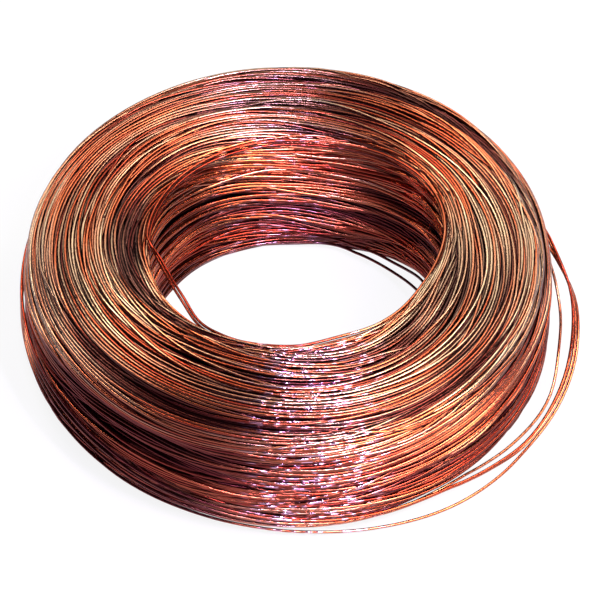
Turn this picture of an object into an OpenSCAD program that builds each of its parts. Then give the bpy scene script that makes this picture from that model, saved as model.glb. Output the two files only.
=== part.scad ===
// Coil of bare copper wire, lying flat, with a few slack turns.
// Millimetres, +Z up. The coil's axis is the Z axis, and it rests on z = 0.

/* [Wire] */
// Diameter of the bare wire
wire_d = 1.6; // [1.4:0.1:2.4]
// Distance from one surface turn to the next, as a share of the wire's diameter
lay = 0.97; // [0.94:0.01:0.99]
// Half the angle of the flat crown that each surface turn has
crown_angle = 26; // [20:1:34]

/* [Coil] */
// Outside diameter of the wound body
coil_od = 280; // [230:1:340]
// Diameter of the bore
bore_d = 150; // [120:1:180]
// Height of the coil as it lies
coil_h = 91.5; // [75:0.5:120]
// Rounding of the top outer edge
top_outer_r = 24.7; // [16:0.1:30]
// Rounding of the top inner edge
top_inner_r = 9; // [5:0.1:20]
// Rounding of the bottom outer edge
bottom_outer_r = 27.1; // [20:0.1:33]
// Rounding of the bottom inner edge
bottom_inner_r = 5.5; // [4:0.1:18]

/* [Slack turns] */
// How far the outer slack turns stand off the coil at their widest
outer_reach = 12; // [6:0.5:16]
// How far the inner slack turns stand off the wall of the bore
inner_reach = 12; // [6:0.5:16]
// Least gap between a slack turn and the coil's surface
seat_gap = 0.3; // [0.25:0.05:0.6]

/* [Hidden] */

wire_r = wire_d / 2;
copper = [0.72, 0.36, 0.22];
light_copper = [0.82, 0.47, 0.30];

// ---- The section of the coil ----
// The centres of the surface turns lie on a rounded rectangle of radius (x) and height (y).
// It runs anticlockwise, and side i starts at corner i, heading 90 * i degrees.
crown = wire_r * cos(crown_angle);
inner_x = bore_d / 2 + crown;
outer_x = coil_od / 2 - crown;
corners = [[inner_x, crown], [outer_x, crown], [outer_x, coil_h - crown], [inner_x, coil_h - crown]];
bends = [for (r = [bottom_inner_r, bottom_outer_r, top_outer_r, top_inner_r]) r - crown];

function dir(a) = [cos(a), sin(a)];
function corner(i) = corners[i % 4];
function bend(i) = bends[i % 4];
function side_len(i) = norm(corner(i + 1) - corner(i)) - bend(i) - bend(i + 1);
function bend_len(i) = bend(i) * PI / 2;
function bend_centre(i) = corner(i) - bend(i) * dir(90 * (i - 1)) + bend(i) * dir(90 * i);

// The turn at distance s along the line of centres, as [centre, direction that it faces]
function turn_at(s, i = 0) =
    let (past = s - side_len(i), faces = 90 * (i - 1) + 90 * past / bend_len(i + 1))
    past <= 0 ? [corner(i) + (bend(i) + s) * dir(90 * i), 90 * (i - 1)]
    : past <= bend_len(i + 1) ? [bend_centre(i + 1) + bend(i + 1) * dir(faces), faces]
    : turn_at(past - bend_len(i + 1), i + 1);

path_len = side_len(0) + side_len(1) + side_len(2) + side_len(3)
    + bend_len(0) + bend_len(1) + bend_len(2) + bend_len(3);
surface_turns = round(path_len / (wire_d * lay));
turns = [for (i = [0:surface_turns - 1]) turn_at(i * path_len / surface_turns)];

// The foot of the groove between two neighbouring turns, where their round flanks meet
function groove(p, q) =
    let (apart = q - p, depth = sqrt(wire_r * wire_r - apart * apart / 4))
    (p + q) / 2 + depth * [apart.y, -apart.x] / norm(apart);

section = [
    for (i = [0:surface_turns - 1])
        let (p = turns[i][0], faces = turns[i][1], next = turns[(i + 1) % surface_turns][0])
        each [
            p + wire_r * dir(faces - crown_angle),
            p + wire_r * dir(faces + crown_angle),
            groove(p, next)
        ]
];

// ---- Slack turns ----
// A station is [azimuth, height, lift]: where the turn passes round the coil, as an angle, how
// high it lies, as a share of the coil's height, and how far it stands off, as a share of the
// reach. Stations run once round the coil, and a smooth line joins them.
function beside(list, rise, pull) = [for (s = list) [s.x, s.y + rise, s.z * pull]];

// Stands off on the right, sinks to the floor and runs under the front
sagging = [
    [-160, 0.47, 0.15], [-120, 0.30, 0], [-80, 0.16, 0], [-52, 0.11, 0.05], [-40, 0.11, 0.40],
    [-30, 0.125, 0.78], [-18, 0.19, 0.94], [-6, 0.30, 1], [3, 0.42, 0.86], [12, 0.55, 0.25],
    [22, 0.58, 0], [80, 0.58, 0], [160, 0.56, 0.15]
];
// Stands off a little, inside the others
single = [
    [-160, 0.41, 0.15], [-120, 0.24, 0], [-80, 0.10, 0], [-45, 0.075, 0.05], [-30, 0.10, 0.42],
    [-18, 0.16, 0.62], [-9, 0.27, 0.36], [0, 0.36, 0.31], [8, 0.48, 0.1], [16, 0.53, 0],
    [80, 0.53, 0], [160, 0.50, 0.15]
];
// Stands off furthest, and lies on the floor along the front
lowest = [
    [-160, 0.35, 0.15], [-125, 0.17, 0], [-104, 0.10, 0.03], [-88, 0.075, 0.15],
    [-70, 0.08, 0.45], [-52, 0.10, 0.80], [-38, 0.11, 0.95], [-28, 0.125, 1], [-17, 0.18, 1.12],
    [-6, 0.27, 1.14], [3, 0.385, 1], [12, 0.49, 0.35], [22, 0.48, 0], [80, 0.48, 0],
    [160, 0.44, 0.15]
];
// Lies over the bore's top edge, and cuts across the bore on the left
crossing = [
    [-175, 0.945, 0.12], [-168, 0.918, 0.38], [-158, 0.885, 0.60], [-146, 0.863, 0.63],
    [-130, 0.863, 0.25], [-114, 0.90, 0.05], [-92, 0.93, 0], [-70, 0.935, 0.12],
    [-50, 0.93, 0.05], [-20, 0.93, 0], [75, 0.93, 0], [150, 0.94, 0], [176, 0.955, 0]
];
// Lies low in the bore, and climbs its wall at the back right
climbing = [
    [-150, 0.20, 0], [-90, 0.24, 0], [-30, 0.42, 0], [-2, 0.46, 0], [16, 0.37, 0.03],
    [32, 0.255, 0.03], [42, 0.20, 0.03], [53, 0.172, 0.03], [63, 0.148, 0.03], [82, 0.13, 0],
    [120, 0.13, 0], [170, 0.16, 0]
];
// Lies below it, along the bore's bottom edge at the back
lying = [
    [-150, 0.13, 0], [-90, 0.15, 0], [-30, 0.29, 0], [-4, 0.33, 0], [12, 0.27, 0.03],
    [25, 0.191, 0.03], [38, 0.131, 0.03], [48, 0.106, 0.03], [62, 0.095, 0.03], [78, 0.078, 0],
    [120, 0.075, 0], [170, 0.10, 0]
];
outer_turns = [sagging, beside(sagging, 0.045, 0.88), single, lowest];
inner_turns = [crossing, beside(crossing, -0.03, 0.9), climbing, lying];

// Station i of a turn, counted on past a full turn
function station(list, i) =
    let (lap = floor(i / len(list)))
    list[i - lap * len(list)] + [360 * lap, 0, 0];

// Change in height and lift for each degree at station i
function slope(list, i) =
    let (step = station(list, i + 1) - station(list, i - 1))
    step / step.x;

// The smooth line's value at azimuth a, between station i and the next
function between(list, i, a) =
    let (p = station(list, i), q = station(list, i + 1), w = q.x - p.x, t = (a - p.x) / w)
    (2 * pow(t, 3) - 3 * pow(t, 2) + 1) * p + (pow(t, 3) - 2 * pow(t, 2) + t) * w * slope(list, i)
    + (3 * pow(t, 2) - 2 * pow(t, 3)) * q + (pow(t, 3) - pow(t, 2)) * w * slope(list, i + 1);

function at_azimuth(list, a, i = -1) =
    a <= station(list, i + 1).x ? between(list, i, a) : at_azimuth(list, a, i + 1);

// A turn's centre in the section plane, standing `out` off the line of the surface turns at
// height y. side is 1 on the outer wall and -1 in the bore; low and high are its bends.
function off_wall(y, out, wall_x, side, low, high) =
    let (
        centre_y = y < low.y ? low.y : y > high.y ? high.y : y,
        r = y < low.y ? bend(low[2]) : y > high.y ? bend(high[2]) : 0,
        centre_x = r > 0 ? wall_x - side * r : wall_x,
        lean = r > 0 ? asin((y - centre_y) / r) : 0,
        p = [centre_x + side * (r + out) * cos(lean), centre_y + (r + out) * sin(lean)]
    )
    [p.x, max(p.y, wire_r)];

outer_low = concat(bend_centre(1), 1);
outer_high = concat(bend_centre(2), 2);
inner_high = concat(bend_centre(3), 3);
inner_low = concat(bend_centre(4), 4);

function slack_route(list, reach, side, rings) = [
    for (k = [0:rings - 1])
        let (
            a = -180 + 360 * k / rings,
            s = at_azimuth(list, a),
            out = wire_d + seat_gap + max(s.z, 0) * reach,
            p = side > 0 ? off_wall(s.y * coil_h, out, outer_x, 1, outer_low, outer_high)
                : off_wall(s.y * coil_h, out, inner_x, -1, inner_low, inner_high)
        )
        [p.x * cos(a), p.x * sin(a), p.y]
];

// A closed loop of wire along a route of points
module wire_loop(route, sides = 8) {
    n = len(route);
    rings = [
        for (i = [0:n - 1])
            let (
                ahead = route[(i + 1) % n] - route[(i + n - 1) % n],
                t = ahead / norm(ahead),
                across = cross(t, [0, 0, 1]),
                u = across / norm(across),
                v = cross(u, t)
            )
            for (j = [0:sides - 1])
                route[i] + wire_r * (cos(360 * j / sides) * u + sin(360 * j / sides) * v)
    ];
    faces = [
        for (i = [0:n - 1], j = [0:sides - 1])
            let (i2 = (i + 1) % n, j2 = (j + 1) % sides)
            for (face = [[i * sides + j, i * sides + j2, i2 * sides + j2],
                         [i * sides + j, i2 * sides + j2, i2 * sides + j]])
                face
    ];
    polyhedron(rings, faces);
}

module coil() {
    color(copper) rotate_extrude($fn = 120) polygon(section);
}

module outer_slack_turns() {
    color(light_copper)
        for (list = outer_turns)
            wire_loop(slack_route(list, outer_reach, 1, 72));
}

module inner_slack_turns() {
    color(light_copper)
        for (list = inner_turns)
            wire_loop(slack_route(list, inner_reach, -1, 60));
}

coil();
outer_slack_turns();
inner_slack_turns();
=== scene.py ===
# %% [markdown]
# # A coil of bare copper wire
#
# The object is one copper wire, about 1.3 km long, wound into a thick ring and taken off its
# former. Nothing holds it but its own stiffness, so the turns lie in bunches that drift, sink
# and cross, and a few have worked loose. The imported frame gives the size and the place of
# everything. Blender gives the single turns, which the frame only has as a ribbed ring.
#
# Lengths are in millimetres up to the point where a mesh is made, because a section of wire
# is easier to think about that way.

# %% Load the frame
import math

import bpy
import numpy as np
from mathutils import Matrix, Vector


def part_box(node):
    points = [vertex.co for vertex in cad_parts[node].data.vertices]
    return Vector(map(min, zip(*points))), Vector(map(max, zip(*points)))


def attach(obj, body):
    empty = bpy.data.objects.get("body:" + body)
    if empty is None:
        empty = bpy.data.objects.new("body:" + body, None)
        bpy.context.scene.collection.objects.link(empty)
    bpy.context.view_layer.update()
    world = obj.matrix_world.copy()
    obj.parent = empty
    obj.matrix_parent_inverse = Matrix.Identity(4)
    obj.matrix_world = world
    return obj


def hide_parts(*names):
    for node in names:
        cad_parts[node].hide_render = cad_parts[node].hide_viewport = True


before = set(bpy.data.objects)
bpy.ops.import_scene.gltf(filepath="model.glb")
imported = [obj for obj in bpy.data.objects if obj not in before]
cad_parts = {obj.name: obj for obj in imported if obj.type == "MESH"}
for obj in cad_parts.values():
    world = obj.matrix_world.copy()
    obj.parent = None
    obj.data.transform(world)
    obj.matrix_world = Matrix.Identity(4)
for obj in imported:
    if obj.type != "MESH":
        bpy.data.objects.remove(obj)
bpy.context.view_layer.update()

MM = 0.001
coil_lo, coil_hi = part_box("coil")
OUTER = (coil_hi[0] - coil_lo[0]) / 2 / MM
HEIGHT = coil_hi[2] / MM
print(f"the coil is {2 * OUTER:.1f} mm across and {HEIGHT:.1f} mm high")

# %% [markdown]
# ## The wire and the ring that it fills
#
# The wire's diameter sets the scale of everything else. The ring's section is a rectangle with
# four different roundings, because the former held the bore sharp and the outer edges were
# left free. A hand-wound ring isn't true: its left side bulges, and at the back right the wall
# of the bore has drawn back by a finger's width. So each of 120 sections round the ring has an
# outline of its own.

# %% Sizes of the wire and the ring
WIRE = 1.6
BORE = 75.0
BOTTOM_INNER, BOTTOM_OUTER, TOP_OUTER, TOP_INNER = 5.5, 27.1, 24.7, 9.0
SECTIONS = 120  # every third degree
AZIMUTHS = np.arange(SECTIONS) * 360 / SECTIONS - 180
MIDDLE = np.array([(BORE + OUTER) / 2, HEIGHT / 2])


def hump(azimuths, centre, reach):
    """1 at an azimuth, falling smoothly to 0 at reach from it, in degrees."""
    away = np.abs((azimuths - centre + 180) % 360 - 180)
    return np.where(away < reach, 0.5 + 0.5 * np.cos(np.pi * away / reach), 0.0)


# How far a wall has moved from the axis, and how much rounder the foot of the bore has slumped,
# each with its azimuth and its reach in degrees. TIGHT is how much narrower the whole bore is.
DRAWN_BACK, DRAWN_BACK_AT = 10.5, (30, 60)
LEFT_DENT, LEFT_DENT_AT = 2.0, (-138, 34)
LEFT_BULGE, LEFT_BULGE_AT = 2.6, (180, 75)
SLUMP, SLUMP_AT = 8.0, (36, 50)
TIGHT = 0.5
inner_side = (BORE - TIGHT + DRAWN_BACK * hump(AZIMUTHS, *DRAWN_BACK_AT)
              + LEFT_DENT * hump(AZIMUTHS, *LEFT_DENT_AT))
outer_side = OUTER + LEFT_BULGE * hump(AZIMUTHS, *LEFT_BULGE_AT)
slumped = BOTTOM_INNER + SLUMP * hump(AZIMUTHS, *SLUMP_AT)
print(f"the bore's wall is {inner_side.min():.1f} to {inner_side.max():.1f} mm from the axis")

# %% [markdown]
# ## Inside or outside
#
# The turns are placed in the sections, where each turn is a small disc. A disc has to know how
# deep it lies and which way is out. This is the usual distance to a rounded rectangle, worked
# out for every disc in every section at once.


# %% Distance from the outline
def edge_distance(points):
    """How far section points are outside the outline, below 0 inside, and the way out."""
    low = np.stack([inner_side, np.zeros(SECTIONS)], -1)
    high = np.stack([outer_side, np.full(SECTIONS, HEIGHT)], -1)
    from_middle = points - (low + high) / 2
    inner, lower = from_middle[..., 0] < 0, from_middle[..., 1] < 0
    rounding = np.where(lower, np.where(inner, slumped, BOTTOM_OUTER),
                        np.where(inner, TOP_INNER, TOP_OUTER))[..., None]
    beyond = np.abs(from_middle) - (high - low) / 2 + rounding
    corner = np.maximum(beyond, 0)
    length = np.linalg.norm(corner, axis=-1, keepdims=True)
    distance = np.minimum(beyond.max(-1, keepdims=True), 0) + length - rounding
    flat = np.where(beyond[..., :1] > beyond[..., 1:], [1.0, 0.0], [0.0, 1.0])
    out = np.where(length > 1e-9, corner / np.maximum(length, 1e-9), flat)
    return distance[..., 0], out * np.where(from_middle < 0, -1.0, 1.0)


# %% [markdown]
# ## Round the outline
#
# A place on the surface is a distance along the outline. It starts at the middle of the top,
# and runs over the outer edge, down the wall, under the coil and up the bore.

# %% Places along the outline
ARC_POINTS = 46
corners = [(OUTER - TOP_OUTER, HEIGHT - TOP_OUTER, TOP_OUTER, 90),
           (OUTER - BOTTOM_OUTER, BOTTOM_OUTER, BOTTOM_OUTER, 0),
           (BORE + BOTTOM_INNER, BOTTOM_INNER, BOTTOM_INNER, -90),
           (BORE + TOP_INNER, HEIGHT - TOP_INNER, TOP_INNER, -180)]
edge, ways = [[MIDDLE[0], HEIGHT]], [[0.0, 1.0]]
for across, up, rounding, start in corners:
    for turn in np.radians(start - np.linspace(0, 90, ARC_POINTS)):
        way = [math.cos(turn), math.sin(turn)]
        edge.append([across + rounding * way[0], up + rounding * way[1]])
        ways.append(way)
edge, ways = np.array(edge + edge[:1]), np.array(ways + ways[:1])
along = np.r_[0, np.cumsum(np.linalg.norm(np.diff(edge, axis=0), axis=1))]
AROUND = along[-1]
edge_turn = np.unwrap(np.arctan2(*(edge - MIDDLE).T))


def on_outline(place):
    """The point at a place along the outline, and the way out there."""
    place = place % AROUND
    point = [np.interp(place, along, edge[:, k]) for k in (0, 1)]
    way = [np.interp(place, along, ways[:, k]) for k in (0, 1)]
    return np.stack(point, -1), np.stack(way, -1)


def place_of(points):
    """The place along the outline that section points lie behind."""
    turn = np.arctan2(points[..., 0] - MIDDLE[0], points[..., 1] - MIDDLE[1])
    return np.interp(turn % (2 * math.pi), edge_turn, along)


print(f"the outline is {AROUND:.0f} mm round, room for {AROUND / WIRE:.0f} turns side by side")

# %% [markdown]
# ## Bunches and furrows
#
# A wire doesn't wander alone. The turns laid down together drift together, and between two
# bunches there is a furrow, which is dark because light hardly reaches its bottom. So drift
# and depth are worked out for lanes that run round the coil, two millimetres apart. Long slow
# random waves make them, mixed with the waves of the lanes beside.
#
# Chance alone would give any coil, and this is a certain one. Its deepest furrows and its
# proudest bunches are listed one by one, each at its azimuth and its place on the outline. The
# top edge of the bore has a drift of its own too: in front its turns sweep inwards, and at
# the sides they fall back.

# %% Random waves
rng = np.random.default_rng(7)
LANES = 145
lane_home = np.arange(LANES) * AROUND / LANES


def waves(count, cycles):
    """Rows of smooth random waves round the coil, with these cycles in each round."""
    turn = np.radians(AZIMUTHS)
    total = np.zeros((count, SECTIONS))
    for cycle in cycles:
        swing = rng.normal(size=(2, count, 1)) / cycle
        total += swing[0] * np.cos(cycle * turn) + swing[1] * np.sin(cycle * turn)
    return total / math.sqrt(sum(1 / cycle**2 for cycle in cycles))


def apart(place, other):
    """How far one place is past another along the outline, the short way round."""
    return (place - other + AROUND / 2) % AROUND - AROUND / 2


def lane_waves(cycles, width):
    """Random waves for the lanes, alike in lanes that are nearer than width."""
    share = np.exp(-(apart(lane_home[:, None], lane_home[None]) / width) ** 2)
    return share @ waves(LANES, cycles) / np.sqrt((share**2).sum(1, keepdims=True))


def from_lanes(rows, home):
    """Rows of the lanes, mixed for turns whose homes lie between lanes."""
    lane = home / AROUND * LANES
    low, part = np.floor(lane).astype(int), (lane % 1)[:, None]
    return rows[low % LANES] * (1 - part) + rows[(low + 1) % LANES] * part


# %% Furrows, crests and the sweep of the bore's edge
# Each furrow: azimuth, reach in degrees, place, half width and depth in mm.
FURROWS = [(-126, 40, 27, 2.6, 4.6), (-124, 44, 50, 4.2, 5.4), (-128, 42, 60, 3.0, 5.0),
           (-150, 28, 7, 1.6, 2.6), (-62, 28, 65, 2.4, 3.2), (-138, 36, 80, 3.0, 4.0),
           (-45, 30, 24, 1.8, 2.4), (-24, 18, 55, 2.0, 3.0),
           (34, 44, 20, 2.0, 2.8), (65, 40, 11, 1.6, 2.2), (178, 36, 258, 2.2, 3.8),
           (105, 60, 187, 3.0, 5.0), (100, 50, 175, 2.4, 5.0), (146, 30, 221, 2.8, 5.0),
           (42, 30, 182, 5.0, 5.4), (32, 26, 217, 3.0, 4.4), (42, 50, 246, 2.0, 3.4),
           (-118, 36, 268, 1.6, 2.0), (-60, 30, 258, 1.6, 2.2), (60, 40, 200, 1.6, 2.2)]
# Each crest, the same way: azimuth, reach, place, half width and height. Below 0 it is a hollow.
CRESTS = [(-74, 34, 14, 9, 1.6), (-72, 40, 40, 10, 1.4), (-60, 40, 75, 9, 1.0),
          (95, 50, 225, 16, 1.6), (118, 60, 8, 16, -1.3), (15, 60, 272, 12, 0.5),
          (-105, 40, 276, 10, 1.2), (-40, 34, 274, 14, 1.5), (-150, 44, 278, 16, 1.2),
          (55, 40, 276, 14, -0.4), (135, 44, 205, 20, -0.5)]
# How far the turns at the top edge of the bore lie past their place, at each azimuth.
SWEEP = [(90, -12), (140, 1.5), (178, 11), (203, 11.5), (230, 3), (250, 0), (270, 3.5), (290, 9),
         (315, 3.5), (340, -2.5), (365, -6.5), (402, -8)]
SOFTEN = 5  # bends more often round the coil than this fade out

# %% Drift of the lanes
# The slow swing of the lanes elsewhere: its height in mm and where round the coil it starts.
WALL_SWING, WALL_START = 5, 2.4
REST_SWING, REST_START = 10, math.pi / 2


def bell(distance, width):
    """1 at no distance, falling to a third at width from there."""
    return np.exp(-(distance / width) ** 2)


turn = np.radians(AZIMUTHS)
edge_share = bell(apart(lane_home, 255), 28)[:, None]
wall_share = bell(apart(lane_home, 205), 35)[:, None] * (1 - edge_share)
rest_share = 1 - edge_share - wall_share
bends = np.fft.rfft(np.interp(AZIMUTHS, *np.array(SWEEP).T, period=360))
sweep = np.fft.irfft(bends / (1 + (np.arange(SECTIONS // 2 + 1) / SOFTEN) ** 4), SECTIONS)
lane_drift = sweep * edge_share + WALL_SWING * np.cos(turn + WALL_START) * wall_share
lane_drift += REST_SWING * np.cos(turn + REST_START) * rest_share
lane_drift += lane_waves((1, 2), 16) * 2.4 + lane_waves((1, 2, 3), 5) * 1.2
lane_place = lane_home[:, None] + lane_drift
print(f"the lanes drift {np.abs(lane_drift).max():.1f} mm at most")

# %% Depth of the lanes
# Everywhere the surface has sunk a little. Where a second wave is high, it has a furrow.
SUNK, SUNK_WAVE, FURROW_ABOVE, FURROW_DEPTH, DEEPEST = 0.7, 0.5, 0.6, 2.8, 6
lane_sunk = SUNK + lane_waves((1, 2, 3), 2.6) * SUNK_WAVE
furrows = np.maximum(lane_waves((1, 2, 3, 4), 1.2) - FURROW_ABOVE, 0) * FURROW_DEPTH
lane_sunk += furrows * (1 - 0.5 * bell(apart(lane_home, 280), 32)[:, None])
for azimuth, reach, place, half, depth in FURROWS + [row[:4] + (-row[4],) for row in CRESTS]:
    column = int(np.abs((AZIMUTHS - azimuth + 180) % 360 - 180).argmin())
    away = apart(lane_home, place - np.interp(place, lane_home, lane_drift[:, column]))
    lane_sunk += depth * hump(AZIMUTHS, azimuth, reach) * bell(away, half)[:, None]
lane_sunk = np.clip(lane_sunk, 0, DEEPEST)


def relief(points):
    """How far the surface has sunk under the outline, for section points."""
    place = place_of(points)
    return np.stack([np.interp(place[:, k], lane_place[:, k], lane_sunk[:, k], period=AROUND)
                     for k in range(SECTIONS)], -1)


print(f"{len(FURROWS)} furrows, up to {max(row[4] for row in FURROWS):.1f} mm deep")

# %% [markdown]
# ## Laying the turns
#
# Only the outer three layers or so can be seen, so only those are made. Each turn starts at a
# random place and depth and drifts round the ring with its lane. Left like that the turns
# would run through each other. So they settle: turns that overlap push each other apart, each
# turn straightens as a springy wire does, and the outline and the core under the turns hold
# them in. This is a tiny simulation of the winding, and a few seconds of it give crossings and
# bunches that nobody could draw. It stops before every overlap is gone, and the last cell prints
# what is left.

# %% Spread the turns
TURNS = 520
SHELL = 5.4  # how deep the turns go that are made
DEEPEST_TURN = SHELL - 0.4
CROSSERS = 0.14  # the share of turns that wander across the others, near the top of the pile
CROSSER_DEPTH, CROSSER_WANDER, WANDER = 0.3, 3.6, 0.7
DIVE, SLACK = 0.9, 0.5  # how far a turn goes up and down, and how far it may stay below the top
home = np.sort(rng.uniform(0, AROUND, TURNS))
depth = rng.uniform(WIRE / 2, DEEPEST_TURN, TURNS)
crosses = rng.uniform(0, 1, TURNS) < CROSSERS
depth[crosses] *= CROSSER_DEPTH
wander = waves(TURNS, (1, 2, 3, 4)) * np.where(crosses, CROSSER_WANDER, WANDER)[:, None]
level = np.clip(depth[:, None] + waves(TURNS, (1, 2, 3)) * DIVE, WIRE / 2, DEEPEST_TURN)
lies_low = np.abs(waves(TURNS, (1, 2, 3))) * SLACK
spot, out = on_outline(home[:, None] + from_lanes(lane_drift, home) + wander)
turns = spot - out * level[..., None]
print(f"{TURNS} turns spread, {crosses.sum()} of them across the others")


# %% Pairs of neighbours
CELLS = 512  # more cells than a section is wide or high


def near_pairs(points, reach):
    """Pairs of discs in the same section that are nearer than reach, found by sorted cells."""
    cell = np.floor(points / reach).astype(np.int64)
    key = ((np.arange(SECTIONS) * CELLS + cell[..., 0]) * CELLS + cell[..., 1]).ravel()
    order = np.argsort(key, kind="stable")
    ranked = key[order]
    first, second = [], []
    for step in (0, CELLS, 1, CELLS + 1, CELLS - 1):
        start = np.searchsorted(ranked, ranked + step, "left")
        stop = np.searchsorted(ranked, ranked + step, "right")
        if step == 0:
            start = np.arange(len(ranked)) + 1
        for extra in range(int((stop - start).max())):
            found = np.nonzero(start + extra < stop)[0]
            first.append(order[found])
            second.append(order[start[found] + extra])
    first, second = np.concatenate(first), np.concatenate(second)
    flat = points.reshape(-1, 2)
    near = np.linalg.norm(flat[first] - flat[second], axis=1) < reach
    return first[near], second[near]


# %% Let the turns settle
# What share of an overlap, or of a way out of bounds, is put right in each round.
PUSH, PRESS, LIFT = 0.3, 0.7, 0.5
PAIR_REACH, PAIR_ROUNDS = WIRE * 1.4, 4


def push_apart(points, first, second):
    """Moves each overlapping pair of discs apart."""
    flat = points.reshape(-1, 2)
    gap = flat[first] - flat[second]
    length = np.linalg.norm(gap, axis=1)
    push = gap * (np.clip(WIRE - length, 0, None) / np.maximum(length, 1e-6) * PUSH)[:, None]
    moves = [np.bincount(first, push[:, k], len(flat)) - np.bincount(second, push[:, k], len(flat))
             for k in (0, 1)]
    return points + np.stack(moves, -1).reshape(points.shape)


def straighten(points, cycles=20):
    """Springs each turn straighter: the more often it bends, the more it loses."""
    bends = np.fft.rfft(points, axis=1)
    keep = 1 / (1 + (np.arange(bends.shape[1]) / cycles) ** 4)
    return np.fft.irfft(bends * keep[:, None], SECTIONS, axis=1)


def settle(points, rounds):
    """Rounds of straightening, pushing apart and holding in."""
    for step in range(rounds):
        if step % PAIR_ROUNDS == 0:
            first, second = near_pairs(points, PAIR_REACH)
            sunk = relief(points)
        points = push_apart(straighten(points), first, second)
        distance, out = edge_distance(points)
        over = np.maximum(distance + WIRE / 2 + sunk + lies_low, 0)
        under = np.maximum(-SHELL - sunk - distance, 0)
        points = points - out * (over * PRESS - under * LIFT)[..., None]
    return points


QUICK_ROUNDS, ROUNDS = 40, 120
turns = settle(turns, ROUNDS)
first, second = near_pairs(turns, WIRE)
discs = turns.reshape(-1, 2)
overlap = WIRE - np.linalg.norm(discs[first] - discs[second], axis=1)
print(f"{len(first)} pairs of discs still touch, by {overlap.mean():.2f} mm on average")

# %% [markdown]
# ## From discs to wire
#
# A turn is a closed curve through its 120 discs. A curve with a round bevel is the quickest
# way to a wire, and it keeps an even thickness in every bend. The curve is then made a mesh,
# because each turn carries a tint of its own in an attribute, and a mesh can hold that. Six
# sides are enough for a wire that is 1.6 mm thick, and they keep the whole under 400,000 faces.

# %% Make wires from paths
BEVEL_STEPS = {6: 1, 8: 2}  # the bevel resolution that gives a wire this many sides


def make_wires(name, paths, sides=6):
    """Closed wires along paths, given in millimetres, as one mesh with a tint for each wire."""
    curve = bpy.data.curves.new(name, "CURVE")
    curve.dimensions = "3D"
    curve.bevel_depth = WIRE / 2 * MM
    curve.bevel_resolution = BEVEL_STEPS[sides]
    for path in paths:
        spline = curve.splines.new("POLY")
        spline.points.add(len(path) - 1)
        spline.points.foreach_set("co", np.c_[path * MM, np.ones(len(path))].ravel())
        spline.use_cyclic_u = True
        spline.use_smooth = True
    piece = bpy.data.objects.new(name, curve)
    bpy.context.collection.objects.link(piece)
    bpy.ops.object.select_all(action="DESELECT")
    piece.select_set(True)
    bpy.context.view_layer.objects.active = piece
    bpy.ops.object.convert(target="MESH")
    each = len(piece.data.vertices) // len(paths)
    give(piece, "wire_tint", np.repeat(rng.uniform(0, 1, len(paths)), each))
    return piece


def give(piece, name, values):
    """Stores one number for each vertex."""
    piece.data.attributes.new(name, "FLOAT", "POINT").data.foreach_set("value", values)


def spots_of(piece):
    """The vertices of a piece, in millimetres."""
    spots = np.empty(len(piece.data.vertices) * 3, np.float32)
    piece.data.vertices.foreach_get("co", spots)
    return spots.reshape(-1, 3) / MM


# %% [markdown]
# ## Where the light gets
#
# A finish can't tell how deep a turn lies, so each vertex is told in two attributes. The first
# is painted shade: 0 on the crest of a turn at the surface and 1 where it is always dark: on its
# flanks, deep in a furrow, under the coil, low in the bore and at the foot of the wall in front
# on the left. The second says how pale the copper is: the high places are handled most and worn
# paler, and on top of that the tops, some sides and the lip of the bore are painted paler as
# painted light. Both are worked out in the sections, where depth and direction are known.

# %% Dark places and pale places
FLANK, LOOKS_UP, SUNK_FROM, SUNK_OVER = 1.33, 2.0, 1.2, 2.4
INSIDE_RELIEF, LIP_RELIEF = 0.3, 0.36  # how much lighter the flanks are in the bore and at its lip
PALE, LIP_PALE = 0.5, 0.45
# Each side painted paler as painted light: azimuth, reach in degrees, and how much paler.
PALE_SIDES = [(-163, 50, 1.0), (-8, 72, 1.0), (-76, 24, 0.5), (108, 45, 0.6)]


def unit(values):
    """The values, kept between 0 and 1."""
    return np.clip(values, 0, 1)


def dark_places(out, up):
    """1 where the floor and the coil itself keep the light from a disc."""
    under = unit(-1.5 * out[..., 1])
    front_left = hump(AZIMUTHS, -150, 60) * unit(1.1 - up / 40)
    front_foot = unit(2 * hump(AZIMUTHS, -140, 56)) * unit(1 - up / 16)
    bore_foot = 0.75 * unit(-out[..., 0]) * unit(1.2 - up / 26)
    back_left = 0.2 * hump(AZIMUTHS, 125, 60) * unit(out[..., 1])
    return np.maximum.reduce([under, front_left, front_foot, bore_foot, back_left])


def bore_lip(across, up):
    """1 on the top edge of the bore on the right, where the turns lie open to the light."""
    return hump(AZIMUTHS, -25, 62) * unit(up / 30 - 1.5) * unit((118 - across) / 20)


def pale_places(out, up, lip):
    """How pale the copper is: wear on high places, and painted light on tops, lit sides and lip.
    """
    high = unit(out[..., 1] + 0.8 * unit(up / 36 - 1.5))
    pale = PALE + sum(more * hump(AZIMUTHS, at, reach) for at, reach, more in PALE_SIDES)
    return high * (pale + LIP_PALE * lip)


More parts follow.
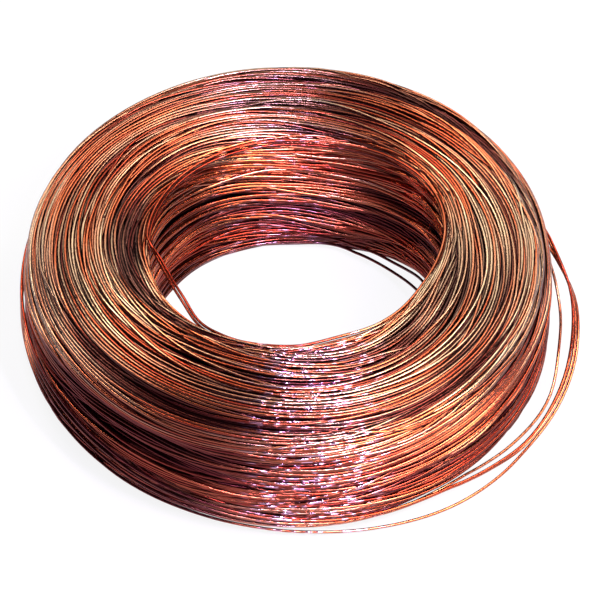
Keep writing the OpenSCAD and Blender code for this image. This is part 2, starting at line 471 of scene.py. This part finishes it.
def give_light(piece, count):
    """Stores painted shade and paleness from wear and painted light in a piece of count turns."""
    spots = spots_of(piece).reshape(count, SECTIONS, -1, 3)
    section = np.stack([np.hypot(spots[..., 0], spots[..., 1]), spots[..., 2]], -1)
    middle = section.mean(2)
    across, up = middle[..., 0], middle[..., 1]
    distance, out = edge_distance(middle)
    facing = out + (0, LOOKS_UP)
    facing /= np.linalg.norm(facing, axis=-1, keepdims=True)
    turned = ((section - middle[:, :, None]) * facing[:, :, None]).sum(-1) / (WIRE / 2)
    inside, lip = unit(-out[..., :1]), bore_lip(across, up)
    flank = (1 - turned) * FLANK * (1 - INSIDE_RELIEF * inside) * (1 - LIP_RELIEF * lip[..., None])
    sunk = unit((-distance[..., None] - SUNK_FROM - inside) / SUNK_OVER)
    # Painted shade: flanks, furrows and the dark places are darkened in the colour.
    lit = (1 - unit(flank)) * (1 - sunk) * (1 - dark_places(out, up)[..., None])
    give(piece, "painted_shade", (1 - lit).ravel())
    give(piece, "rubbed_and_lit", np.repeat(pale_places(out, up, lip), section.shape[2]))


def round_the_axis(points, azimuths):
    """Section points (across, up) as points in space, in millimetres."""
    turn = np.radians(azimuths)
    return np.stack([points[..., 0] * np.cos(turn), points[..., 0] * np.sin(turn),
                     points[..., 1]], -1)


# %% [markdown]
# ## The wound turns
#
# Fine kinks come last. They are a tenth of a millimetre high, too small to see as shape, but
# they turn the wire by half a degree, which helps to break a reflection into sparks. Turns that
# they lift out of the outline are put back with a hair's breadth to spare. The turns are made
# in seven pieces, by the part of the section where they lie, so that none is too heavy to handle.

# %% Kink the turns
KINK, SPARE = 0.09, 0.02
KINKS_A_TURN = range(6, 15)
kinked = turns + np.stack([waves(TURNS, KINKS_A_TURN), waves(TURNS, KINKS_A_TURN)], -1) * KINK
distance, out = edge_distance(kinked)
kinked -= out * np.maximum(distance + WIRE / 2 + SPARE, 0)[..., None]
paths = round_the_axis(kinked, AZIMUTHS)
print("the kinks are", KINK, "mm high")

# %% Make the wound turns
# Each piece takes the turns whose home on the outline lies between two places.
REGIONS = {"top_turns": (0, 20), "outer_edge_turns": (20, 60), "outer_wall_turns": (60, 100),
           "under_turns": (100, 160), "bore_wall_turns": (160, 205),
           "bore_edge_turns": (205, 250), "inner_top_turns": (250, 300)}
wound = []
for name, (start, stop) in REGIONS.items():
    chosen = (home >= start) & (home < stop)
    wound.append(make_wires(name, paths[chosen]))
    give_light(wound[-1], chosen.sum())
    print(name, "has", int(chosen.sum()), "turns,", len(wound[-1].data.polygons), "faces")

# %% [markdown]
# ## The buried turns
#
# Some 1,400 more turns lie under these. A gap between two bunches may show a glimpse of them,
# so a ring fills the space, its copper painted nearly black as painted shade. It is modelled by
# hand: a flat plate as the section, its corners rounded, spun round the axis. Where the wall of
# the bore has drawn back, the ring draws back with it. It cuts into the turns that lie deepest,
# about one disc in twenty-five, and nearly all of those are out of sight.

# %% Make the buried turns
COVER, ROUNDED, ROUND_STEPS, SPIN_STEPS = 8.0, 15, 5, 96
bpy.ops.object.select_all(action="DESELECT")
bpy.ops.mesh.primitive_plane_add(
    size=1, location=(MIDDLE[0] * MM, 0, MIDDLE[1] * MM), rotation=(math.pi / 2, 0, 0))
buried = bpy.context.object
buried.name = buried.data.name = "buried_turns"
buried.scale = ((OUTER - BORE - 2 * COVER) * MM, (HEIGHT - 2 * COVER) * MM, 1)
bpy.ops.object.transform_apply(location=True, rotation=True, scale=True)
bpy.ops.object.mode_set(mode="EDIT")
bpy.ops.mesh.select_all(action="SELECT")
bpy.ops.mesh.bevel(offset=ROUNDED * MM, segments=ROUND_STEPS, affect="VERTICES")
bpy.ops.mesh.delete(type="ONLY_FACE")
bpy.ops.mesh.select_all(action="SELECT")
bpy.ops.mesh.spin(steps=SPIN_STEPS, angle=2 * math.pi, center=(0, 0, 0), axis=(0, 0, 1))
bpy.ops.mesh.select_all(action="SELECT")
bpy.ops.mesh.remove_doubles(threshold=0.01 * MM)
bpy.ops.mesh.normals_make_consistent(inside=False)
bpy.ops.object.mode_set(mode="OBJECT")
for vertex in buried.data.vertices:
    across = math.hypot(vertex.co.x, vertex.co.y)
    azimuth = math.degrees(math.atan2(vertex.co.y, vertex.co.x))
    if across < MIDDLE[0] * MM:
        vertex.co.xy *= 1 + DRAWN_BACK * MM * float(hump(azimuth, *DRAWN_BACK_AT)) / across
bpy.ops.object.shade_smooth()
print("the buried turns have", len(buried.data.polygons), "faces")

# %% [markdown]
# ## The slack turns
#
# Eight turns have worked loose. They are whole turns of the winding, not loose ends, and they
# stand off it for part of their way round. A turn is given by stations: the azimuth, how high
# it lies as a share of the coil's height, and how far it stands off as a share of the reach.
# A smooth line joins the stations. These are the frame's own routes, repeated. So where a turn
# stands free it runs where its solid is, and where it is seated it follows the wall as moved
# here. Eight sides keep the few that stand alone round.

# %% Stations of the slack turns
SAGGING = [(-160, .47, .15), (-120, .30, 0), (-80, .16, 0), (-52, .11, .05), (-40, .11, .40),
           (-30, .125, .78), (-18, .19, .94), (-6, .30, 1), (3, .42, .86), (12, .55, .25),
           (22, .58, 0), (80, .58, 0), (160, .56, .15)]
SINGLE = [(-160, .41, .15), (-120, .24, 0), (-80, .10, 0), (-45, .075, .05), (-30, .10, .42),
          (-18, .16, .62), (-9, .27, .36), (0, .36, .31), (8, .48, .1), (16, .53, 0),
          (80, .53, 0), (160, .50, .15)]
LOWEST = [(-160, .35, .15), (-125, .17, 0), (-104, .10, .03), (-88, .075, .15), (-70, .08, .45),
          (-52, .10, .80), (-38, .11, .95), (-28, .125, 1), (-17, .18, 1.12), (-6, .27, 1.14),
          (3, .385, 1), (12, .49, .35), (22, .48, 0), (80, .48, 0), (160, .44, .15)]
CROSSING = [(-175, .945, .12), (-168, .918, .38), (-158, .885, .60), (-146, .863, .63),
            (-130, .863, .25), (-114, .90, .05), (-92, .93, 0), (-70, .935, .12),
            (-50, .93, .05), (-20, .93, 0), (75, .93, 0), (150, .94, 0), (176, .955, 0)]
CLIMBING = [(-150, .20, 0), (-90, .24, 0), (-30, .42, 0), (-2, .46, 0), (16, .37, .03),
            (32, .255, .03), (42, .20, .03), (53, .172, .03), (63, .148, .03), (82, .13, 0),
            (120, .13, 0), (170, .16, 0)]
LYING = [(-150, .13, 0), (-90, .15, 0), (-30, .29, 0), (-4, .33, 0), (12, .27, .03),
         (25, .191, .03), (38, .131, .03), (48, .106, .03), (62, .095, .03), (78, .078, 0),
         (120, .075, 0), (170, .10, 0)]
OUTER_REACH, INNER_REACH, SEAT_GAP = 12.0, 12.0, 0.3


def beside(stations, rise, pull):
    """The stations of a turn that keeps a turn company, a little higher or lower."""
    return [(azimuth, height + rise, lift * pull) for azimuth, height, lift in stations]


# %% Run a smooth line through stations
SLACK_STEPS = 180
slack_azimuths = np.arange(SLACK_STEPS) * 360 / SLACK_STEPS - 180


def smooth(stations):
    """Height and lift at each azimuth, on a smooth closed line through the stations."""
    known = np.array(stations, float)
    lap = np.array([360.0, 0, 0])
    known = np.concatenate([known[-2:] - lap, known, known[:2] + lap])
    slope = (known[2:] - known[:-2]) / (known[2:, :1] - known[:-2, :1])
    known = known[1:-1]
    turn = np.where(slack_azimuths < known[0, 0], slack_azimuths + 360, slack_azimuths)
    before = np.clip(np.searchsorted(known[:, 0], turn, "right") - 1, 0, len(known) - 2)
    start, stop = known[before], known[before + 1]
    width = (stop[:, 0] - start[:, 0])[:, None]
    part = (turn - start[:, 0])[:, None] / width
    line = ((2 * part**3 - 3 * part**2 + 1) * start + (3 * part**2 - 2 * part**3) * stop
            + (part**3 - 2 * part**2 + part) * width * slope[before]
            + (part**3 - part**2) * width * slope[before + 1])
    return line[:, 1], np.maximum(line[:, 2], 0)


# %% Stand the slack turns off the walls
SEATED, FREE = 8, 0.03  # how soon the seat's gap opens, and the lift from which a turn is free


def slack_path(stations, side, reach, low_rounding, high_rounding):
    """The path of a slack turn: side is 1 on the outer wall and -1 in the bore."""
    height, lift = smooth(stations)
    height = height * HEIGHT
    off = lift * reach + np.minimum((WIRE + SEAT_GAP) / 2, lift * SEATED)
    seat = np.clip(height, low_rounding, HEIGHT - high_rounding)
    rounding = np.where(height < low_rounding, low_rounding, high_rounding)
    lean = np.arcsin(np.clip((height - seat) / rounding, -1, 1))
    wall = np.interp(slack_azimuths, AZIMUTHS, outer_side if side > 0 else inner_side, period=360)
    fixed = np.minimum(lift / FREE, 1)
    wall = wall * (1 - fixed) + (OUTER if side > 0 else BORE) * fixed
    across = wall - side * rounding + side * (rounding + off) * np.cos(lean)
    up = np.maximum(seat + (rounding + off) * np.sin(lean), WIRE / 2)
    return round_the_axis(np.stack([across, up], -1), slack_azimuths)


outer_slack = [slack_path(line, 1, OUTER_REACH, BOTTOM_OUTER, TOP_OUTER) for line in
               (SAGGING, beside(SAGGING, .045, .88), SINGLE, LOWEST)]
inner_slack = [slack_path(line, -1, INNER_REACH, BOTTOM_INNER, TOP_INNER) for line in
               (CROSSING, beside(CROSSING, -.03, .9), CLIMBING, LYING)]
outer_strands = make_wires("outer_strands", outer_slack, sides=8)
inner_strands = make_wires("inner_strands", inner_slack, sides=8)
lengths = [np.linalg.norm(np.diff(path, axis=0, append=path[:1]), axis=1).sum()
           for path in outer_slack + inner_slack]
print("slack turns, in mm:", ", ".join(f"{length:.0f}" for length in lengths))

# %% Light on the slack turns
STRAND_FLANK, STRAND_PALE, STRAND_LIP_PALE = 0.55, 0.4, 1.1
foot_shade = unit(2.2 * hump(slack_azimuths, -132, 50))[:, None]
lip_share = unit(1.5 * hump(slack_azimuths, -22, 80))
# For each strand: the painted shade all the way round, the painted shade that only a part of
# its way has, and whether it lies on the lip of the bore, where it is painted paler as painted
# light.
for piece, shade, local, on_lip in ((outer_strands, (0, 0, 0, 0), foot_shade, (0, 0, 0, 0)),
                                    (inner_strands, (.35, .45, .85, .85), 0, (1, 1, 0, 0))):
    spots = spots_of(piece).reshape(len(shade), SLACK_STEPS, -1, 3)
    turned = (spots - spots.mean(2, keepdims=True))[..., 2] / (WIRE / 2)
    painted_dark = unit((1 - turned) * STRAND_FLANK + np.reshape(shade, (-1, 1, 1)))
    give(piece, "painted_shade", np.maximum(painted_dark, local).ravel())
    rubbed_and_lit = STRAND_PALE + STRAND_LIP_PALE * np.multiply.outer(on_lip, lip_share)
    give(piece, "rubbed_and_lit", np.repeat(rubbed_and_lit, turned.shape[2]))
print("the strands in the bore are in shade:", shade)

# %% [markdown]
# ## Writing a finish as sums
#
# A finish is a network of nodes, and a network is easier to read as arithmetic. This class
# wraps one socket. Adding or multiplying wrapped sockets adds the Math nodes that do it, and
# its one other method adds any node at all.


# %% A socket that can be reckoned with
class Flow:
    """One output of a node, with sums that add Math nodes."""

    def __init__(self, tree, socket=None):
        self.tree, self.socket = tree, socket

    def node(self, kind, inputs=(), output=0, stops=(), **settings):
        """Adds a node: its settings first, then a ramp's stops, then its sockets."""
        made = self.tree.nodes.new(kind)
        for name, value in settings.items():
            setattr(made, name, value)
        for count, (position, shade) in enumerate(stops):
            ramp = made.color_ramp.elements
            stop = ramp[count] if count < 2 else ramp.new(position)
            stop.position, stop.color = position, shade
        for name, value in dict(inputs).items():
            if isinstance(value, Flow):
                self.tree.links.new(value.socket, made.inputs[name])
            else:
                made.inputs[name].default_value = value
        return Flow(self.tree, made.outputs[output] if len(made.outputs) else None)

    def __add__(self, other):
        return self.node("ShaderNodeMath", {0: self, 1: other}, operation="ADD")

    def __sub__(self, other):
        return self.node("ShaderNodeMath", {0: self, 1: other}, operation="SUBTRACT")

    def __rsub__(self, other):
        return self.node("ShaderNodeMath", {0: other, 1: self}, operation="SUBTRACT")

    def __mul__(self, other):
        return self.node("ShaderNodeMath", {0: self, 1: other}, operation="MULTIPLY")

    __radd__, __rmul__ = __add__, __mul__


def new_finish(name):
    """An empty finish: the material, and a start for its sums."""
    finish = bpy.data.materials.new(name)
    finish.use_nodes = True
    finish.node_tree.nodes.clear()
    return finish, Flow(finish.node_tree)


# %% [markdown]
# ## Bare copper
#
# Drawn copper is bright metal whose colour is all in its reflections. No two turns match: one
# is fresh and golden, the next has tarnished to red, and each changes slowly along its way.
# The tint of a turn comes from its attribute, and so does the place where its noise is read,
# in a fourth dimension, so that two turns side by side don't share their stains. The two
# attributes of the light come in here: wear and painted light make turns paler, and painted
# shade takes sheltered places nearly black.

# %% Colours of the copper
FRESH = (0.98, 0.70, 0.50, 1)
WARM = (0.85, 0.235, 0.105, 1)
TARNISHED = (0.58, 0.07, 0.03, 1)
# The fourth colour is the near black of painted shade, the fifth a pale lilac painted highlight.
PAINTED_SHADE_COLOUR = (0.06, 0.012, 0.018, 1)
PAINTED_GLINT_COLOUR = (0.9, 0.55, 0.8, 1)
# How far a turn's tint, its stains, and its wear together with painted light move it towards
# fresh copper, and where the sum starts.
TINT_SHARE, STAIN_SHARE, RUB_AND_LIGHT_SHARE, YOUNGEST = 0.5, 0.8, 0.32, 0.36
# How far painted shade takes the copper to its near black.
PAINTED_SHADE_SHARE = 0.94


def turn_noise(start, where, tint, apart_by, scale, detail):
    """Noise that is read at a place of its own for each turn."""
    return start.node("ShaderNodeTexNoise", {"Vector": where, "W": tint * apart_by, "Scale": scale,
                                             "Detail": detail}, noise_dimensions="4D")


def attribute(start, name):
    """A number that the vertices carry."""
    return start.node("ShaderNodeAttribute", attribute_name=name, output="Fac")


def clamped(start, value):
    """A value, kept between 0 and 1."""
    return start.node("ShaderNodeClamp", {"Value": value})


def blended(start, part, colour, other):
    """One colour turning into another as part goes from 0 to 1."""
    return start.node("ShaderNodeMix", {"Factor": part, 6: colour, 7: other}, output=2,
                      data_type="RGBA")


# %% [markdown]
# ## Beads of light
#
# Across the front a cool light breaks into beads, and that takes small dents. Real wire has
# them where turns have pressed on each other. They only matter along the line where the lamps
# are mirrored, which runs nearly through the axis, and elsewhere they would roughen the long
# golden lines. So they are kept to a band along that line, and are fainter behind the axis.
# The tops of the dents have a polish: they are smoother, with a clear coat, and their colour
# is mixed towards a pale lilac as a painted highlight.

# %% Dents in the band of beads
BEAD_SCALE, BEAD_EDGE, BEAD_RISE = 190.0, 0.56, 9.0
BAND_TILT, BAND_LEVEL, BAND_FALL = 0.12, 1.7, 40.0  # how far the band turns, and its soft edges
BACK_RISE, BACK_START, BACK_FADE = 14.0, 0.2, 0.85


def dents(start, where, tint):
    """Height of the dents, their strength, and the smoothness and painted highlight of their tops.
    """
    beads = turn_noise(start, where, tint, 70.0, BEAD_SCALE, 0.0)
    across = start.node("ShaderNodeSeparateXYZ", {0: where}, output="X")
    back = start.node("ShaderNodeSeparateXYZ", {0: where}, output="Y")
    off_line = start.node("ShaderNodeMath", {0: across + back * BAND_TILT}, operation="ABSOLUTE")
    in_band = clamped(start, BAND_LEVEL - off_line * BAND_FALL)
    behind = clamped(start, back * BACK_RISE - BACK_START)
    strength = (1.0 - behind * BACK_FADE) * in_band
    return beads, strength, strength * clamped(start, (beads - BEAD_EDGE) * BEAD_RISE)


# %% The copper finish
KINK_SCALE, KINK_HEIGHT, DENT_DEPTH = 300.0, 0.2, 0.0008
DULL, AGE_SHINE, BEAD_SHINE, PAINTED_GLINT_SHARE = 0.25, 0.06, 0.14, 0.6


def copper_finish(name):
    """Bare copper, tarnished turn by turn, with painted shade and painted highlight on its beads.
    """
    finish, start = new_finish(name)
    where = start.node("ShaderNodeTexCoord", output="Object")
    tint, painted_dark = attribute(start, "wire_tint"), attribute(start, "painted_shade")
    stains = turn_noise(start, where, tint, 40.0, 30.0, 3.0)
    # Wear and painted light from the vertices make the copper paler, with the tint and stains.
    age_and_lit = (tint * TINT_SHARE + stains * STAIN_SHARE
           + attribute(start, "rubbed_and_lit") * RUB_AND_LIGHT_SHARE - YOUNGEST)
    colour = start.node("ShaderNodeValToRGB", {"Fac": age_and_lit},
                        stops=[(0.12, TARNISHED), (0.9, FRESH), (0.5, WARM)])
    beads, strength, polish_and_glint = dents(start, where, tint)
    # Painted shade: sheltered places go nearly black.
    colour = blended(start, painted_dark * PAINTED_SHADE_SHARE, colour, PAINTED_SHADE_COLOUR)
    # Painted highlight: the bead tops are mixed towards a pale lilac.
    colour = blended(start, polish_and_glint * PAINTED_GLINT_SHARE, colour, PAINTED_GLINT_COLOUR)
    kinks = turn_noise(start, where, tint, 90.0, KINK_SCALE, 1.0)
    bump = start.node("ShaderNodeBump", {"Height": kinks * KINK_HEIGHT + beads * strength,
                                         "Strength": 1.0, "Distance": DENT_DEPTH})
    metal = start.node("ShaderNodeBsdfPrincipled", {
        "Base Color": colour, "Roughness": DULL - age_and_lit * AGE_SHINE - polish_and_glint * BEAD_SHINE,
        "Metallic": 1.0, "Normal": bump,
        "Coat Weight": polish_and_glint * (1.0 - painted_dark), "Coat Roughness": 0.15, "Coat IOR": 2.5})
    start.node("ShaderNodeOutputMaterial", {"Surface": metal})
    return finish


copper = copper_finish("bare_copper")
for piece in wound + [outer_strands, inner_strands]:
    piece.data.materials.append(copper)
buried.data.materials.append(copper)
# The buried ring is all painted shade, so its copper goes nearly black.
give(buried, "painted_shade", np.ones(len(buried.data.vertices)))
print("copper is on", len(wound) + 3, "pieces")

# %% [markdown]
# ## What each piece stands for
#
# Every piece moves with the one body and takes the copper finish. The CAD nodes whose places
# the pieces fill are hidden, and they stay in the physics model.

# %% Tie the pieces to the frame
for piece in wound + [buried]:
    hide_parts("coil")
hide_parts("outer_slack_turns")
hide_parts("inner_slack_turns")
for piece in wound + [buried, outer_strands, inner_strands]:
    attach(piece, "root")
print("tied", len(wound) + 3, "pieces to the root body")

# %% [markdown]
# ## The floor
#
# The coil lies on a plain white floor that runs out of sight. To the camera it glows nearly
# white whatever the lamps do, and in the copper it glows by half. The rest of it is plain matt
# paint, which keeps a faint shadow under the coil. It is only a stage, not part of the object.

# %% Make the floor
FLOOR_SIZE = 60.0
CAMERA_GLOW, MIRROR_GLOW = 0.88, 0.5
FLOOR_GAP = 0.02  # below the coil, so that the two never touch
bpy.ops.object.select_all(action="DESELECT")
bpy.ops.mesh.primitive_plane_add(size=FLOOR_SIZE, location=(0, 0, -FLOOR_GAP * MM))
floor = bpy.context.object
floor.name = floor.data.name = "floor"
bpy.ops.object.transform_apply(location=True, rotation=True, scale=True)
paint, start = new_finish("floor_paint")
matt = start.node("ShaderNodeBsdfDiffuse", {"Color": (0.86, 0.86, 0.86, 1)})
glow = start.node("ShaderNodeEmission", {"Color": (1, 1, 1, 1), "Strength": 1.0})
seen = start.node("ShaderNodeLightPath", output="Is Camera Ray")
mirrored = Flow(start.tree, seen.socket.node.outputs["Is Glossy Ray"])
through = Flow(start.tree, seen.socket.node.outputs["Is Transmission Ray"])
mixed = start.node("ShaderNodeMixShader", {
    0: seen * CAMERA_GLOW + (mirrored + through) * MIRROR_GLOW, 1: matt, 2: glow})
start.node("ShaderNodeOutputMaterial", {"Surface": mixed})
floor.data.materials.append(paint)
print("the floor is", FLOOR_SIZE, "m wide")

# %% [markdown]
# ## Light
#
# A shiny wire shows a lamp only where the wire lies across the line half way between the lamp
# and the eye. So each lamp lights one line through the axis, and where it stands decides which.
# Two cool keys near the camera give the beads at the front and the back. They are tall and
# narrow, so a bead is short along the wire and covers its width. Seven warm softboxes stand
# round the coil: a pink one and a golden one widen the bright band to the right in front and to
# the left behind, and the others draw the golden lines along the two sides. The lamps are kept
# in one list, so that their balance can be read at a glance.


# %% Set the lamps
def lamp(name, azimuth, elevation, far, size, power, colour):
    """A soft lamp, wide and high by size, aimed at the middle of the coil."""
    light = bpy.data.lights.new(name, "AREA")
    light.shape, light.energy, light.color = "RECTANGLE", power, colour
    light.size, light.size_y = size
    turn, rise = math.radians(azimuth), math.radians(elevation)
    way = Vector((math.cos(turn) * math.cos(rise), math.sin(turn) * math.cos(rise),
                  math.sin(rise)))
    holder = bpy.data.objects.new(name, light)
    holder.matrix_world = (Matrix.Translation(way * far + Vector((0, 0, MIDDLE[1] * MM)))
                           @ way.to_track_quat("Z", "Y").to_matrix().to_4x4())
    bpy.context.collection.objects.link(holder)
    return holder


COOL, GOLD, STRAW = (0.7, 0.64, 1.0), (1.0, 0.93, 0.8), (1.0, 0.95, 0.75)
# Each lamp: name, azimuth, elevation, distance and size in metres, power in watts, and colour.
LAMPS = [
    ("left_key", -95, 56, 1.6, (0.08, 0.6), 14, COOL),
    ("right_key", -67, 56, 1.6, (0.08, 0.6), 20, COOL),
    ("pink_softbox", -55, 48, 1.5, (0.4, 0.4), 17, (1.0, 0.7, 0.75)),
    ("right_softbox", -24, 48, 1.5, (0.45, 0.45), 17.5, (1.0, 0.82, 0.65)),
    ("high_right_softbox", 33, 57, 1.5, (0.4, 0.4), 6, GOLD),
    ("back_softbox", 90, 50, 1.5, (0.6, 0.6), 3, GOLD),
    ("back_right_softbox", 50, 38, 1.5, (0.4, 0.4), 1.6, STRAW),
    ("back_left_softbox", 130, 34, 1.5, (0.35, 0.35), 1.3, STRAW),
    ("high_left_softbox", 137, 59, 1.5, (0.4, 0.4), 6.5, (1.0, 0.95, 0.78))]
for row in LAMPS:
    lamp(*row)

# %% A dim room
world = bpy.data.worlds.new("studio")
bpy.context.scene.world = world
world.use_nodes = True
world.node_tree.nodes.clear()
start = Flow(world.node_tree)
room = start.node("ShaderNodeBackground", {"Color": (0.5, 0.4, 0.7, 1), "Strength": 0.06})
start.node("ShaderNodeOutputWorld", {"Surface": room})
print(len(LAMPS), "lamps and a dim room")

# %% [markdown]
# ## Camera
#
# The coil is seen from the front and from 47 degrees above, through a long lens that keeps its
# rings nearly the same width near and far.

# %% Place the camera
ELEVATION, ROLL, FAR, LENS, SENSOR = 46.925, 1.056, 3.8717, 436.2, 36
SHIFT = (0.0168, -0.0116)
camera_data = bpy.data.cameras.new("camera")
camera_data.lens, camera_data.sensor_width = LENS, SENSOR
camera_data.shift_x, camera_data.shift_y = SHIFT
camera_data.clip_end = 100
camera = bpy.data.objects.new("camera", camera_data)
bpy.context.collection.objects.link(camera)
back = Vector((0, -math.cos(math.radians(ELEVATION)), math.sin(math.radians(ELEVATION))))
camera.matrix_world = (Matrix.Translation(back * FAR + Vector((0, 0, MIDDLE[1] * MM)))
                       @ back.to_track_quat("Z", "Y").to_matrix().to_4x4()
                       @ Matrix.Rotation(math.radians(ROLL), 4, "Z"))
bpy.context.scene.camera = camera
bpy.context.scene.view_settings.view_transform = "Standard"
print("the camera stands", FAR, "m away")
